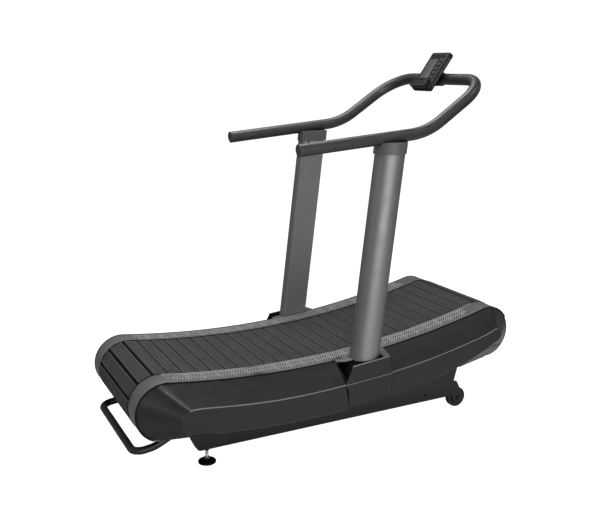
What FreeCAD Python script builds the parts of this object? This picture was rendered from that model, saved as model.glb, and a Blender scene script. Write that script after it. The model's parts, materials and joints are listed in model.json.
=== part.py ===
import FreeCAD, Part
import math
import os

# Curved manual treadmill. Millimetres, +X towards the console, +Y to the
# runner's left, +Z up. The origin is the middle of the footprint on the floor.

V = FreeCAD.Vector
ACROSS = V(0, 1, 0)

# Running surface: one long arc between two end rolls.
ARC_X, ARC_Z, ARC_R = -220.0, 4181.0, 3850.0
RING_R = 120.0
ROLL_X_REAR, ROLL_X_FRONT = -768.0, 775.0
RAIL_IN, RAIL_OUT = 224.0, 320.0
RAIL_PARTS = 4
SHEET = 4.0

# Slat belt.
SLATS = 63
PITCH = 60.2
SLAT_LONG, SLAT_HALF, TREAD_LONG = 56.0, 216.0, 54.0
TREAD_T, CARRIER_T = 5.0, 4.0
RIB_T, RIB_DEEP, RIB_HALF = 4.0, 13.0, 145.0
BELT_T, BELT_Y0, BELT_Y1 = 6.0, 165.0, 195.0
TOP_R = ARC_R - 1.0 + TREAD_T + CARRIER_T + BELT_T / 2
DRUM_R = 109.0
SLAT_RISE = 0.12
GAP = 0.3
FIT = 0.05

# Frame.
PLATE_Y0, PLATE_Y1 = 240.0, 246.0
PLATE_DEEP = 150.0
BEAM_OUT, BEAM_IN, BEAM_T = 330.0, 290.0, 4.0
BEAM_LOW = 64.0
SHAFT_R = 14.0
STUD_R, ROLLER_R = 6.0, 22.0
ROLLER_X = (-540.0, -160.0, 220.0, 600.0)
STRUT_REAR, STRUT_FRONT = -600.0, 520.0

# Uprights and handlebar.
POST_X, POST_Z0, POST_Z1 = 99.0, 318.0, 1190.0
LEAN = 0.123
POST_IN, POST_OUT, POST_HALF, POST_WALL = 312.0, 404.0, 60.0, 3.0
BAR_R, CORE_R, CORE_WALL = 25.0, 22.0, 3.0
BAR_END = V(-210, 343, 1219)
BAR_KNEE = V(372, 357, 1269)
BAR_CORNER = V(684, 349, 1476)
KNEE_R, CORNER_R = 320.0, 150.0

# Covers.
SKIRT_OUT, SKIRT_T = 416.5, 4.0
SEAM_REAR, SEAM_FRONT = -14.0, 194.0
NOTCH_DECK, NOTCH_CREASE = -13.0, -18.0

# Floor contact.
FOOT_X, FOOT_Y, FOOT_R = -603.0, 308.0, 36.0
WHEEL_X, WHEEL_R = 618.0, 46.0
WHEEL_Y0, WHEEL_Y1 = 291.0, 321.0
HANDLE_X, HANDLE_Y = -882.2, 261.0

# Console.
CONSOLE_TILT = 36.0
CONSOLE_LONG, CONSOLE_WIDE, CONSOLE_T = 198.0, 134.0, 29.0
CONSOLE_LOW = V(577, 0, 1437)
KEY_Z = (62, 85, 108, 131, 154)


def roll_centre(x, reach):
    """Centre of a roll whose top is tangent to the long arc."""
    return V(x, 0, ARC_Z - math.sqrt(reach * reach - (x - ARC_X) ** 2))


RING_REAR = roll_centre(ROLL_X_REAR, ARC_R + RING_R)
RING_FRONT = roll_centre(ROLL_X_FRONT, ARC_R + RING_R)
DRUM_REAR = roll_centre(ROLL_X_REAR, TOP_R + DRUM_R)
DRUM_FRONT = roll_centre(ROLL_X_FRONT, TOP_R + DRUM_R)


def box(x0, x1, y0, y1, z0, z1):
    return Part.makeBox(x1 - x0, y1 - y0, z1 - z0, V(x0, y0, z0))


def rod(r, a, b):
    return Part.makeCylinder(r, (b - a).Length, a, b - a)


def across(r, x, z, y0, y1):
    return Part.makeCylinder(r, y1 - y0, V(x, y0, z), ACROSS)


def hexagon(width, a, b):
    r = width / math.sqrt(3)
    ring = [V(r * math.cos(math.radians(k)), r * math.sin(math.radians(k)), 0) for k in range(0, 361, 60)]
    prism = Part.Face(Part.makePolygon(ring)).extrude(V(0, 0, (b - a).Length))
    prism.Placement = FreeCAD.Placement(a, FreeCAD.Rotation(V(0, 0, 1), b - a))
    return prism


def mirrored(shape):
    return shape.mirror(V(0, 0, 0), ACROSS)


def save(name, *solids):
    shape = solids[0] if len(solids) == 1 else Part.makeCompound(solids)
    shape.exportStep("parts/" + name + ".step")


def save_pair(name, *solids):
    save(name + "_left", *solids)
    save(name + "_right", *[mirrored(s) for s in solids])


def both_sides(*solids):
    return list(solids) + [mirrored(s) for s in solids]


def arc_z(x, r):
    return ARC_Z - math.sqrt(r * r - (x - ARC_X) ** 2)


def polar(centre, r, degrees):
    a = math.radians(degrees)
    return V(centre.x + r * math.cos(a), centre.y, centre.z + r * math.sin(a))


def bent_path(points, radii):
    """Straight runs between the points, joined by tangent arcs."""
    edges = []
    start = points[0]
    for before, corner, after, r in zip(points, points[1:], points[2:], radii):
        back = (before - corner).normalize()
        ahead = (after - corner).normalize()
        half = back.getAngle(ahead) / 2
        cut = r / math.tan(half)
        bisector = (back + ahead).normalize()
        middle = corner + bisector * (r / math.sin(half) - r)
        edges.append(Part.LineSegment(start, corner + back * cut).toShape())
        edges.append(Part.Arc(corner + back * cut, middle, corner + ahead * cut).toShape())
        start = corner + ahead * cut
    edges.append(Part.LineSegment(start, points[-1]).toShape())
    return Part.Wire(edges)


def pipe(path, r):
    edge = path.Edges[0]
    start = edge.valueAt(edge.FirstParameter)
    ring = Part.Wire(Part.makeCircle(r, start, edge.tangentAt(edge.FirstParameter)))
    return path.makePipeShell([ring], True, True)


def rounded(points, r):
    """Closed outline in the XZ plane with every corner rounded."""
    corners = [V(x, 0, z) for x, z in points]
    edges = []
    marks = []
    for k, corner in enumerate(corners):
        back = (corners[k - 1] - corner).normalize()
        ahead = (corners[(k + 1) % len(corners)] - corner).normalize()
        half = back.getAngle(ahead) / 2
        cut = r / math.tan(half)
        middle = corner + (back + ahead).normalize() * (r / math.sin(half) - r)
        marks.append((corner + back * cut, middle, corner + ahead * cut))
    for k, (first, middle, last) in enumerate(marks):
        edges.append(Part.Arc(first, middle, last).toShape())
        edges.append(Part.LineSegment(last, marks[(k + 1) % len(marks)][0]).toShape())
    return Part.Wire(edges)


def slab(wire, y0, y1):
    face = Part.Face(wire)
    face.translate(V(0, y0, 0))
    return face.extrude(V(0, y1 - y0, 0))


# ---------------------------------------------------------------- belt path

def heading(a, b):
    return math.degrees(math.atan2(b.z - a.z, b.x - a.x))


def lower_centre(radius):
    """Centre of the hanging arc that is tangent to both drums."""
    middle = (DRUM_REAR + DRUM_FRONT) * 0.5
    chord = DRUM_FRONT - DRUM_REAR
    up = V(-chord.z, 0, chord.x).normalize()
    return middle + up * math.sqrt((radius - DRUM_R) ** 2 - (chord.Length / 2) ** 2)


def belt_arcs(radius):
    """(centre, pitch radius, first angle, last angle, outward sign) for each stretch."""
    top = V(ARC_X, 0, ARC_Z)
    low = lower_centre(radius)
    top_rear, top_front = heading(top, DRUM_REAR), heading(top, DRUM_FRONT)
    low_rear, low_front = heading(low, DRUM_REAR), heading(low, DRUM_FRONT)
    return [
        (top, TOP_R, top_rear, top_front, -1),
        (DRUM_FRONT, DRUM_R, top_front + 180, low_front, 1),
        (low, radius, low_front, low_rear, 1),
        (DRUM_REAR, DRUM_R, low_rear, top_rear - 180, 1),
    ]


def belt_length(radius):
    return sum(r * math.radians(abs(a1 - a0)) for _, r, a0, a1, _ in belt_arcs(radius))


def hanging_radius():
    """Radius of the lower run that gives the belt its whole number of slats."""
    tight, slack = 30000.0, 2000.0
    for _ in range(60):
        middle = (tight + slack) / 2
        if belt_length(middle) > SLATS * PITCH:
            slack = middle
        else:
            tight = middle
    return (tight + slack) / 2


LOWER_R = hanging_radius()


def belt_wire(offset):
    edges = []
    for centre, r, a0, a1, sign in belt_arcs(LOWER_R):
        r = r + sign * offset
        ends = [polar(centre, r, a) for a in (a0, (a0 + a1) / 2, a1)]
        edges.append(Part.Arc(*ends).toShape())
    return Part.Wire(edges)


def drive_belts():
    band = slab(belt_wire(BELT_T / 2), BELT_Y0, BELT_Y1)
    return both_sides(band.cut(slab(belt_wire(-BELT_T / 2), BELT_Y0 - 1, BELT_Y1 + 1)))


def slat_places():
    """Placement of every slat: origin on the belt's outer face, +Z outwards."""
    places = []
    travelled = 0.0
    stop = 0.0
    for centre, r, a0, a1, sign in belt_arcs(LOWER_R):
        length = r * math.radians(abs(a1 - a0))
        while stop < travelled + length and len(places) < SLATS:
            a = a0 + (a1 - a0) * (stop - travelled) / length
            at = polar(centre, r + sign * BELT_T / 2 - max(-sign, 0) * SLAT_RISE, a)
            outward = (at - centre) * sign
            tilt = math.degrees(math.atan2(outward.x, outward.z))
            places.append(FreeCAD.Placement(at, FreeCAD.Rotation(ACROSS, tilt)))
            stop += PITCH
        travelled += length
    return places


def placed(shape, place):
    piece = shape.copy()
    piece.Placement = place
    return piece


def carrier():
    half = SLAT_LONG / 2
    plate = box(-half, half, -SLAT_HALF, SLAT_HALF, 0, CARRIER_T)
    rib = box(-RIB_T / 2, RIB_T / 2, -RIB_HALF, RIB_HALF, -RIB_DEEP, 0)
    return plate.fuse(rib).removeSplitter()


def tread():
    half = TREAD_LONG / 2
    strip = box(-half, half, -SLAT_HALF, SLAT_HALF, CARRIER_T, CARRIER_T + TREAD_T)
    top = [e for e in strip.Edges if e.BoundBox.ZMin > CARRIER_T + 1 and e.BoundBox.YLength > 10]
    return strip.makeChamfer(1.0, top)


# ------------------------------------------------------------ rolls inside

def shaft(centre):
    middle = across(SHAFT_R, centre.x, centre.z, -RAIL_IN, RAIL_IN)
    ends = [across(SHAFT_R - 2, centre.x, centre.z, y0, y0 + 55) for y0 in (RAIL_IN, -RAIL_IN - 55)]
    return middle.fuse(ends).removeSplitter()


def pulleys(centre):
    rim_r = DRUM_R - BELT_T / 2 - GAP
    solids = []
    for y0, y1 in ((BELT_Y0 - 3, BELT_Y1 + 3), (-BELT_Y1 - 3, -BELT_Y0 + 3)):
        wheel = across(rim_r, centre.x, centre.z, y0, y1)
        groove = across(rim_r - 12, centre.x, centre.z, y0 - 1, y0 + 12).cut(
            across(SHAFT_R + 12, centre.x, centre.z, y0 - 2, y0 + 13))
        bore = across(SHAFT_R, centre.x, centre.z, y0 - 1, y1 + 1)
        solids.append(wheel.cut(groove).cut(bore))
    return solids


def bearing_block(centre):
    y0, y1 = PLATE_Y1, 280.0
    wire = rounded([(centre.x - 42, centre.z - 30), (centre.x + 42, centre.z - 30),
                    (centre.x + 42, centre.z + 30), (centre.x - 42, centre.z + 30)], 14)
    return slab(wire, y0, y1).cut(across(SHAFT_R - 2 + FIT, centre.x, centre.z, y0 - 1, y1 + 1))


def roller_centre(x):
    angle = heading(V(ARC_X, 0, ARC_Z), V(x, 0, arc_z(x, TOP_R)))
    return polar(V(ARC_X, 0, ARC_Z), TOP_R + BELT_T / 2 + GAP + ROLLER_R, angle)


def guide_roller(x):
    c = roller_centre(x)
    roller = across(ROLLER_R, c.x, c.z, BELT_Y0 + 2, BELT_Y1 - 2)
    return both_sides(roller.cut(across(STUD_R + FIT, c.x, c.z, BELT_Y0, BELT_Y1)))


def roller_studs():
    solids = []
    for x in ROLLER_X:
        c = roller_centre(x)
        pin = across(STUD_R, c.x, c.z, BELT_Y0 - 2, PLATE_Y1)
        collar = across(STUD_R + 3, c.x, c.z, BELT_Y1, PLATE_Y0)
        solids += both_sides(pin.fuse(collar).removeSplitter())
    return solids


def speed_sensor():
    return box(DRUM_FRONT.x - 130, DRUM_FRONT.x - 96, 205, PLATE_Y0, 330, 346)


# ------------------------------------------------------------------- frame

def arc_strip(xs, top, low):
    """Outline between two arcs of the deck's centre, with upright ends."""
    upper, lower = [[V(x, 0, arc_z(x, r)) for x in xs] for r in (top, low)]
    rear = Part.LineSegment(lower[0], upper[0]).toShape()
    front = Part.LineSegment(upper[-1], lower[-1]).toShape()
    return Part.Wire([Part.Arc(*upper).toShape(), front, Part.Arc(*lower).toShape(), rear])


def side_plate():
    """Curved bearing plate beside the belt, with a flange under the deck rail."""
    rear, front = DRUM_REAR.x + 30, DRUM_FRONT.x - 40
    top, low = ARC_R + SHEET, ARC_R + PLATE_DEEP
    web = slab(arc_strip([rear, (rear + front) / 2, front], top, low), PLATE_Y0, PLATE_Y1)
    for centre in (DRUM_REAR, DRUM_FRONT):
        web = web.fuse(across(76, centre.x, centre.z, PLATE_Y0, PLATE_Y1))
    flange = slab(arc_strip([-700, 0, 700], top, top + SHEET), PLATE_Y1, 300)
    plate = web.fuse(flange).removeSplitter()
    for centre in (DRUM_REAR, DRUM_FRONT):
        plate = plate.cut(across(SHAFT_R + 2, centre.x, centre.z, PLATE_Y0 - 1, PLATE_Y1 + 1))
    for x in ROLLER_X:
        c = roller_centre(x)
        plate = plate.cut(across(STUD_R, c.x, c.z, PLATE_Y0 - 1, PLATE_Y1 + 1))
    return plate


def beam_outline(inset):
    low = BEAM_LOW + inset
    return rounded([(-690 + inset, 160 - inset), (-646 + inset, low), (570 - inset, low),
                    (614 - inset, 226 - inset), (120, 196 - inset)], 20 - inset)


def beam_block():
    """Everything inside the beam's outline, for cutting what rests against it."""
    return slab(beam_outline(0), BEAM_IN, BEAM_OUT)


def side_beam():
    """Channel open to the inside, with the fork that holds the transport wheel."""
    channel = beam_block().cut(slab(beam_outline(BEAM_T), BEAM_IN - 1, BEAM_OUT - BEAM_T))
    channel = channel.cut(rod(STUD_R + 1, V(FOOT_X, FOOT_Y, BEAM_LOW - 1), V(FOOT_X, FOOT_Y, BEAM_LOW + 5)))
    fork = rounded([(566, 116), (WHEEL_X - 24, WHEEL_R - 22), (WHEEL_X + 21, WHEEL_R - 22),
                    (WHEEL_X + 21, WHEEL_R + 20), (602, 140)], 14)
    outer = slab(fork, BEAM_OUT - BEAM_T, BEAM_OUT)
    beam = channel.fuse(outer).removeSplitter()
    wheel_room = across(WHEEL_R + 4, WHEEL_X, WHEEL_R, WHEEL_Y0 - 4, BEAM_OUT - BEAM_T)
    beam = beam.cut(wheel_room)
    inner = slab(fork, 283, 287).fuse(box(566, 596, 283, BEAM_IN + 1, 112, 150))
    beam = beam.fuse(inner).removeSplitter()
    return beam.cut(across(STUD_R, WHEEL_X, WHEEL_R, 270, 340))


def square_tube(x, z, half, tall, half_y):
    outer = box(x - half, x + half, -half_y, half_y, z, z + tall)
    return outer.cut(box(x - half + 3, x + half - 3, -half_y, half_y, z + 3, z + tall - 3))


def cross_members():
    lower = [square_tube(x, BEAM_LOW + BEAM_T, 22, 30, BEAM_IN) for x in (-580, 100, 500)]
    upper = [square_tube(x, z, 20, 40, PLATE_Y0) for x, z in ((-480, 215), (0, 205), (470, 250))]
    struts = []
    for x, z0 in ((STRUT_REAR, 130), (STRUT_FRONT, 180)):
        strut = box(x - 30, x + 30, PLATE_Y1, RAIL_OUT - SHEET, z0, z0 + 100)
        room = box(x - 26, x + 26, PLATE_Y1, RAIL_OUT - SHEET, z0 + 4, z0 + 96)
        struts += both_sides(strut.cut([room, beam_block()]))
    return lower + upper + struts


def upright_foot():
    """Box bracket that carries the upright between plate and beam."""
    x0, x1 = POST_X - POST_HALF, POST_X + POST_HALF
    outer = box(x0, x1, PLATE_Y1, POST_OUT, 205, POST_Z0)
    hollow = box(x0 + 4, x1 - 4, PLATE_Y1, POST_OUT - 4, 209, POST_Z0 - 5)
    leg = box(x0, x1, BEAM_IN + 6, BEAM_OUT - BEAM_T, 180, 205)
    return outer.cut(hollow).fuse(leg).removeSplitter().cut(beam_block())


def post_section(grow, z):
    """D outline, flat towards the belt, at height z."""
    x = POST_X + (z - 340) * LEAN
    y0, y1, w = POST_IN - grow, POST_OUT + grow, POST_HALF + grow
    flat = w - 6
    shoulder = 325
    edges = [
        Part.LineSegment(V(x - flat, y0, z), V(x + flat, y0, z)).toShape(),
        Part.Arc(V(x + flat, y0, z), V(x + w - 1.5, y0 + 5, z), V(x + w, shoulder, z)).toShape(),
        Part.Arc(V(x + w, shoulder, z), V(x, y1, z), V(x - w, shoulder, z)).toShape(),
        Part.Arc(V(x - w, shoulder, z), V(x - w + 1.5, y0 + 5, z), V(x - flat, y0, z)).toShape(),
    ]
    return Part.Wire(edges)


def post_prism(grow, z0, z1):
    return Part.Face(post_section(grow, z0)).extrude(V((z1 - z0) * LEAN, 0, z1 - z0))


def upright():
    return post_prism(0, POST_Z0, POST_Z1).cut(post_prism(-POST_WALL, POST_Z0 - 1, POST_Z1 + 1))


def bar_path():
    half = [BAR_END, BAR_KNEE, BAR_CORNER]
    other = [V(p.x, -p.y, p.z) for p in reversed(half)]
    return bent_path(half + other, [KNEE_R, CORNER_R, CORNER_R, KNEE_R])


def handlebar():
    core = pipe(bar_path(), CORE_R)
    sleeve = pipe(bar_path(), BAR_R).cut(core)
    return core.cut(pipe(bar_path(), CORE_R - CORE_WALL)), sleeve


def bar_caps():
    along = (BAR_END - BAR_KNEE).normalize()
    disc = rod(BAR_R, BAR_END, BAR_END + along * 4)
    plug = rod(CORE_R - CORE_WALL, BAR_END, BAR_END - along * 20)
    return both_sides(disc.fuse(plug).removeSplitter())


def collar(bar):
    """Saddle between the upright's top and the handlebar."""
    return post_prism(5, POST_Z1, POST_Z1 + 46).cut(bar)


def collar_screws():
    solids = []
    z = POST_Z1 - 8
    for dx in (-30, 30):
        x = POST_X + (z - 340) * LEAN + dx
        head = across(6, x, z, POST_IN - 3, POST_IN)
        solids += both_sides(head.cut(hexagon(5, V(x, POST_IN - 4, z), V(x, POST_IN - 1, z))))
    return solids


def lift_handle():
    half = [V(STRUT_REAR - 22, HANDLE_Y, 174), V(-800, HANDLE_Y, 90), V(HANDLE_X, HANDLE_Y, 80)]
    other = [V(p.x, -p.y, p.z) for p in reversed(half)]
    path = bent_path(half + other, [120, 45, 45, 120])
    return pipe(path, 15).cut([pipe(path, 12.5), box(STRUT_REAR - 30, 0, -300, 300, 100, 250)])


# ---------------------------------------------------------- deck and rings

def turned(points, centre, start, sweep):
    """Ring section (radius, y) turned about a cross axis, from one angle on."""
    ring = [V(centre.x + r, y, centre.z) for r, y in points]
    face = Part.Face(Part.makePolygon(ring + ring[:1]))
    face.rotate(centre, ACROSS, -start)
    return face.revolve(centre, ACROSS, -sweep)


def deck_rail():
    """Foot rail beside the belt, moulded in lengths that meet end to end."""
    r = ARC_R
    section = [(r - 1.5, RAIL_IN), (r - 1.5, RAIL_IN + 3), (r, RAIL_IN + 4.5), (r, RAIL_OUT - 3),
               (r + 3, RAIL_OUT), (r + 14, RAIL_OUT), (r + 14, RAIL_OUT - SHEET),
               (r + SHEET, RAIL_OUT - SHEET), (r + SHEET, RAIL_IN + SHEET),
               (r + 14, RAIL_IN + SHEET), (r + 14, RAIL_IN)]
    centre = V(ARC_X, 0, ARC_Z)
    start = heading(centre, RING_REAR)
    end = heading(centre, RING_FRONT)
    sweep = (end - start) / RAIL_PARTS
    parts = [turned(section, centre, start + k * sweep, sweep) for k in range(RAIL_PARTS)]
    notch = [V(-4, 322, 0), V(22, POST_IN - 4, 0), V(176, POST_IN - 4, 0), V(192, 322, 0), V(-4, 322, 0)]
    room = Part.Face(Part.makePolygon(notch)).extrude(V(0, 0, 500))
    return [part.cut(room) for part in parts]


def end_ring(centre, first, sweep):
    """C-shaped end cap round one roll, with its side wall."""
    r = RING_R
    section = [(r, RAIL_IN), (r, RAIL_OUT - 7), (r - 2, RAIL_OUT - 2), (r - 7, RAIL_OUT),
               (r - 48, RAIL_OUT), (r - 48, RAIL_OUT - SHEET), (r - SHEET - 2, RAIL_OUT - SHEET),
               (r - SHEET, RAIL_OUT - SHEET - 2), (r - SHEET, RAIL_IN + SHEET),
               (r - 30, RAIL_IN + SHEET), (r - 30, RAIL_IN)]
    return turned(section, centre, first, sweep)


def rear_ring():
    return end_ring(RING_REAR, heading(RING_REAR, V(ARC_X, 0, ARC_Z)), 176)


def front_ring():
    """The front cap runs on below the skirt as a sloping tail."""
    top = heading(RING_FRONT, V(ARC_X, 0, ARC_Z))
    ring = end_ring(RING_FRONT, -92, top + 92)
    foot = polar(RING_FRONT, RING_R, -92)
    tail = [V(foot.x, 0, foot.z), V(628, 0, 190), V(628, 0, 226), V(foot.x, 0, foot.z + 40)]
    side = slab(Part.makePolygon(tail + tail[:1]), RAIL_OUT - SHEET, RAIL_OUT)
    sole = [tail[0], tail[1], tail[1] + V(0, 0, SHEET), tail[0] + V(0, 0, SHEET)]
    return ring.fuse([side, slab(Part.makePolygon(sole + sole[:1]), RAIL_IN, RAIL_OUT)]).removeSplitter()


# ------------------------------------------------------------------ skirts

def curve(points, y):
    spline = Part.BSplineCurve()
    knots = [k / (len(points) - 1) for k in range(len(points))]
    spline.interpolate(Points=[V(x, y, z) for x, z in points], Parameters=knots)
    return spline.toShape()


def skirt_solid(deck, crease, low, base, y_in, y_out):
    """Shell between a deck-side outline and a bulged outline further out.

    deck and crease run the same way with as many points; low and base close
    the outer and inner outlines below them.
    """
    a, c, l, b = curve(deck, y_in), curve(crease, y_out), curve(low, y_out), curve(base, y_in)
    start_in = Part.LineSegment(a.Vertexes[0].Point, b.Vertexes[0].Point).toShape()
    start_out = Part.LineSegment(c.Vertexes[0].Point, l.Vertexes[0].Point).toShape()
    faces = [Part.makeRuledSurface(a, c), Part.makeRuledSurface(b, l),
             Part.makeRuledSurface(start_in, start_out),
             Part.Face(Part.Wire(Part.sortEdges([a, b, start_in])[0])),
             Part.Face(Part.Wire(Part.sortEdges([c, l, start_out])[0]))]
    shell = Part.makeShell(faces)
    shell.sewShape()
    solid = Part.makeSolid(shell)
    if solid.Volume < 0:
        solid.reverse()
    return solid


def inset(points, closing, distance):
    """The points moved towards the inside of the outline that they start."""
    loop = points + closing
    area = sum(p[0] * q[1] - q[0] * p[1] for p, q in zip(loop, loop[1:] + loop[:1]))
    turn = 1 if area > 0 else -1
    moved = []
    for k, (x, z) in enumerate(points):
        x0, z0 = points[max(k - 1, 0)]
        x1, z1 = points[min(k + 1, len(points) - 1)]
        length = math.hypot(x1 - x0, z1 - z0)
        moved.append((x - turn * distance * (z1 - z0) / length, z + turn * distance * (x1 - x0) / length))
    return moved


def joined_at_end(first, second):
    """The second list, ending exactly where the first one ends."""
    return second[:-1] + [first[-1]]


def skirt(deck, crease, low, base):
    body = skirt_solid(deck, crease, low, base, RAIL_OUT, SKIRT_OUT)
    d = inset(deck, base[::-1], SKIRT_T)
    c = inset(crease, low[::-1], SKIRT_T)
    l = joined_at_end(c, inset(low, crease[::-1], SKIRT_T))
    b = joined_at_end(d, inset(base, deck[::-1], SKIRT_T))
    room = skirt_solid(d, c, l, b, RAIL_OUT - 0.5, SKIRT_OUT - SKIRT_T)
    return body.cut([room, beam_block()])


def deck_edge(x):
    return (x, arc_z(x, ARC_R) - 5)


def rear_skirt():
    ring = RING_R - 7
    deck = [deck_edge(x) for x in (SEAM_REAR + NOTCH_DECK, -130, -250, -370, -490, -600, -690)]
    deck += [(p.x, p.z) for p in (polar(RING_REAR, ring, a) for a in range(95, 260, 23))]
    crease = [(SEAM_REAR + NOTCH_CREASE, 259), (-110, 254), (-220, 251), (-330, 252), (-440, 258),
              (-550, 268), (-640, 278)]
    crease += [(p.x, p.z) for p in (polar(V(-688, 0, 231), 49, a) for a in range(95, 260, 23))]
    low = [(SEAM_REAR, 150), (-200, 146), (-330, 148), (-450, 155), (-594, 168), crease[-1]]
    base = [(SEAM_REAR, 140), (-200, 132), (-400, 128), (-600, 126), (-720, 130), deck[-1]]
    return skirt(deck, crease, low, base)


def front_skirt():
    ring = RING_R - 4
    deck = [deck_edge(x) for x in (SEAM_FRONT, 300, 410, 520, 620, 700)]
    deck += [(p.x, p.z) for p in (polar(RING_FRONT, ring, a) for a in range(88, -40, -21))]
    crease = [(SEAM_FRONT, 276), (290, 287), (390, 302), (490, 320), (590, 341), (670, 361)]
    tip = V(728, 0, 351)
    crease += [(p.x, p.z) for p in (polar(tip, 26, a) for a in range(95, -65, -26))]
    low = [(SEAM_FRONT, 176), (330, 195), (460, 218), (580, 252), (670, 290), crease[-1]]
    base = [(SEAM_FRONT, 158), (330, 170), (460, 188), (600, 214), (740, 245), deck[-1]]
    return skirt(deck, crease, low, base)


def cover_band(x0, x1, inset_by):
    """Stretch of the skirt's cross-section between two seams, set back a little."""
    wires = []
    for x in (x0, x1):
        rise = (x - SEAM_REAR) / (SEAM_FRONT - SEAM_REAR)
        points = [V(x, RAIL_OUT, 320 + 15 * rise - inset_by), V(x, SKIRT_OUT - inset_by, 259 + 17 * rise),
                  V(x, SKIRT_OUT - inset_by, 150 + 26 * rise + inset_by),
                  V(x, RAIL_OUT, 140 + 18 * rise + inset_by)]
        wires.append(Part.makePolygon(points + points[:1]))
    return Part.makeLoft(wires, True, True)


def upright_cover(neighbour):
    """Cover round the upright's foot, raised above the crease to deck level."""
    a, b = SEAM_REAR + 0.5, SEAM_FRONT - 0.5
    tongue_end = SEAM_REAR + NOTCH_DECK
    band = cover_band(a, b, 0).fuse(cover_band(tongue_end, a, SKIRT_T + 3))
    block = [V(a + NOTCH_CREASE, 0, 256), V(6, 0, 333), V(180, 0, 350), V(b, 0, 272), V(a, 0, 200)]
    raised = slab(Part.makePolygon(block + block[:1]), RAIL_OUT, SKIRT_OUT)
    room = cover_band(tongue_end - 1, b + 1, 2 * SKIRT_T + 1)
    pocket = [V(20, 0, 240), V(20, 0, 328), V(172, 0, 344), V(178, 0, 240)]
    inside = slab(Part.makePolygon(pocket + pocket[:1]), RAIL_OUT - 1, SKIRT_OUT - SKIRT_T)
    cover = band.fuse(raised).removeSplitter()
    return cover.cut([room, inside, post_prism(0.5, 240, 420), beam_block(), neighbour])


# ------------------------------------------------------------ floor contact

def levelling_foot():
    base = rod(FOOT_R, V(FOOT_X, FOOT_Y, 0), V(FOOT_X, FOOT_Y, 8))
    dome = Part.makeCone(FOOT_R - 3, 12, 9, V(FOOT_X, FOOT_Y, 8))
    bore = rod(STUD_R, V(FOOT_X, FOOT_Y, 5), V(FOOT_X, FOOT_Y, 18))
    stem = rod(STUD_R, V(FOOT_X, FOOT_Y, 5), V(FOOT_X, FOOT_Y, 112))
    lower_nut = hexagon(18, V(FOOT_X, FOOT_Y, 17), V(FOOT_X, FOOT_Y, 25))
    return base.fuse(dome).removeSplitter().cut(bore), stem.fuse(lower_nut).removeSplitter()


def foot_nut():
    nut = hexagon(20, V(FOOT_X, FOOT_Y, BEAM_LOW - 10), V(FOOT_X, FOOT_Y, BEAM_LOW))
    return nut.cut(rod(STUD_R + FIT, V(FOOT_X, FOOT_Y, 40), V(FOOT_X, FOOT_Y, 70)))


def frame_bolts():
    solids = [foot_nut()]
    for x, z in ((-500, 93), (59, 110), (436, 93)):
        head = across(7, x, z, BEAM_OUT, BEAM_OUT + 4)
        solids.append(head.cut(hexagon(6, V(x, BEAM_OUT + 1, z), V(x, BEAM_OUT + 5, z))))
    return both_sides(*solids)


def transport_wheel():
    hub = across(WHEEL_R - 12, WHEEL_X, WHEEL_R, WHEEL_Y0, WHEEL_Y1)
    recess = across(WHEEL_R - 16, WHEEL_X, WHEEL_R, WHEEL_Y1 - 5, WHEEL_Y1 + 1).cut(
        across(13, WHEEL_X, WHEEL_R, WHEEL_Y1 - 6, WHEEL_Y1 + 2))
    hub = hub.cut(recess).cut(across(STUD_R + FIT, WHEEL_X, WHEEL_R, WHEEL_Y0 - 1, WHEEL_Y1 + 1))
    tyre = across(WHEEL_R, WHEEL_X, WHEEL_R, WHEEL_Y0 + 1, WHEEL_Y1 - 1)
    tyre = tyre.makeFillet(4, [e for e in tyre.Edges if abs(e.Length - 2 * math.pi * WHEEL_R) < 1])
    return hub, tyre.cut(across(WHEEL_R - 12, WHEEL_X, WHEEL_R, WHEEL_Y0, WHEEL_Y1))


def wheel_axle():
    pin = across(STUD_R, WHEEL_X, WHEEL_R, 280, BEAM_OUT)
    head = hexagon(16, V(WHEEL_X, BEAM_OUT, WHEEL_R), V(WHEEL_X, BEAM_OUT + 5, WHEEL_R))
    nut = across(9, WHEEL_X, WHEEL_R, 277, 283)
    return pin.fuse([head, nut]).removeSplitter()


# ------------------------------------------------------------------ console

def on_console(shape):
    """Console pieces are drawn flat: X towards the bar, Y across, Z up the face."""
    piece = shape.copy()
    piece.Placement = FreeCAD.Placement(CONSOLE_LOW, FreeCAD.Rotation(ACROSS, CONSOLE_TILT))
    return piece


def console_housing():
    w = CONSOLE_WIDE / 2
    case = box(0, CONSOLE_T, -w, w, 0, CONSOLE_LONG)
    case = case.makeFillet(8, case.Edges)
    shelf = box(-22, 12, -w + 8, w - 8, 2, 30)
    shelf = shelf.makeFillet(6, [e for e in shelf.Edges if e.BoundBox.XMax < -21])
    case = case.fuse(shelf).removeSplitter()
    window = box(-1, 3, -14, 56, 54, 162)
    case = case.cut(window)
    for z in KEY_Z:
        case = case.cut(box(-1, 6, -52, -24, z - 8, z + 8))
    return case


def console_lens():
    return box(0.6, 3, -14, 56, 54, 162)


def console_key(z):
    key = box(-1.6, 5.0, -51.5, -24.5, z - 7.5, z + 7.5)
    return key.makeFillet(2, [e for e in key.Edges if abs(e.BoundBox.XLength - 6.6) < 1e-6])


def console_clamp(bar):
    """Sleeve on the cross tube, with an arm to the back of the housing."""
    sleeve = across(BAR_R + 6, BAR_CORNER.x, BAR_CORNER.z, -26, 26)
    back = on_console(box(CONSOLE_T, CONSOLE_T + 30, -26, 26, 52, 112))
    clear = across(BAR_R + FIT, BAR_CORNER.x, BAR_CORNER.z, -60, 60)
    return sleeve.fuse(back).removeSplitter().cut(clear)


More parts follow.
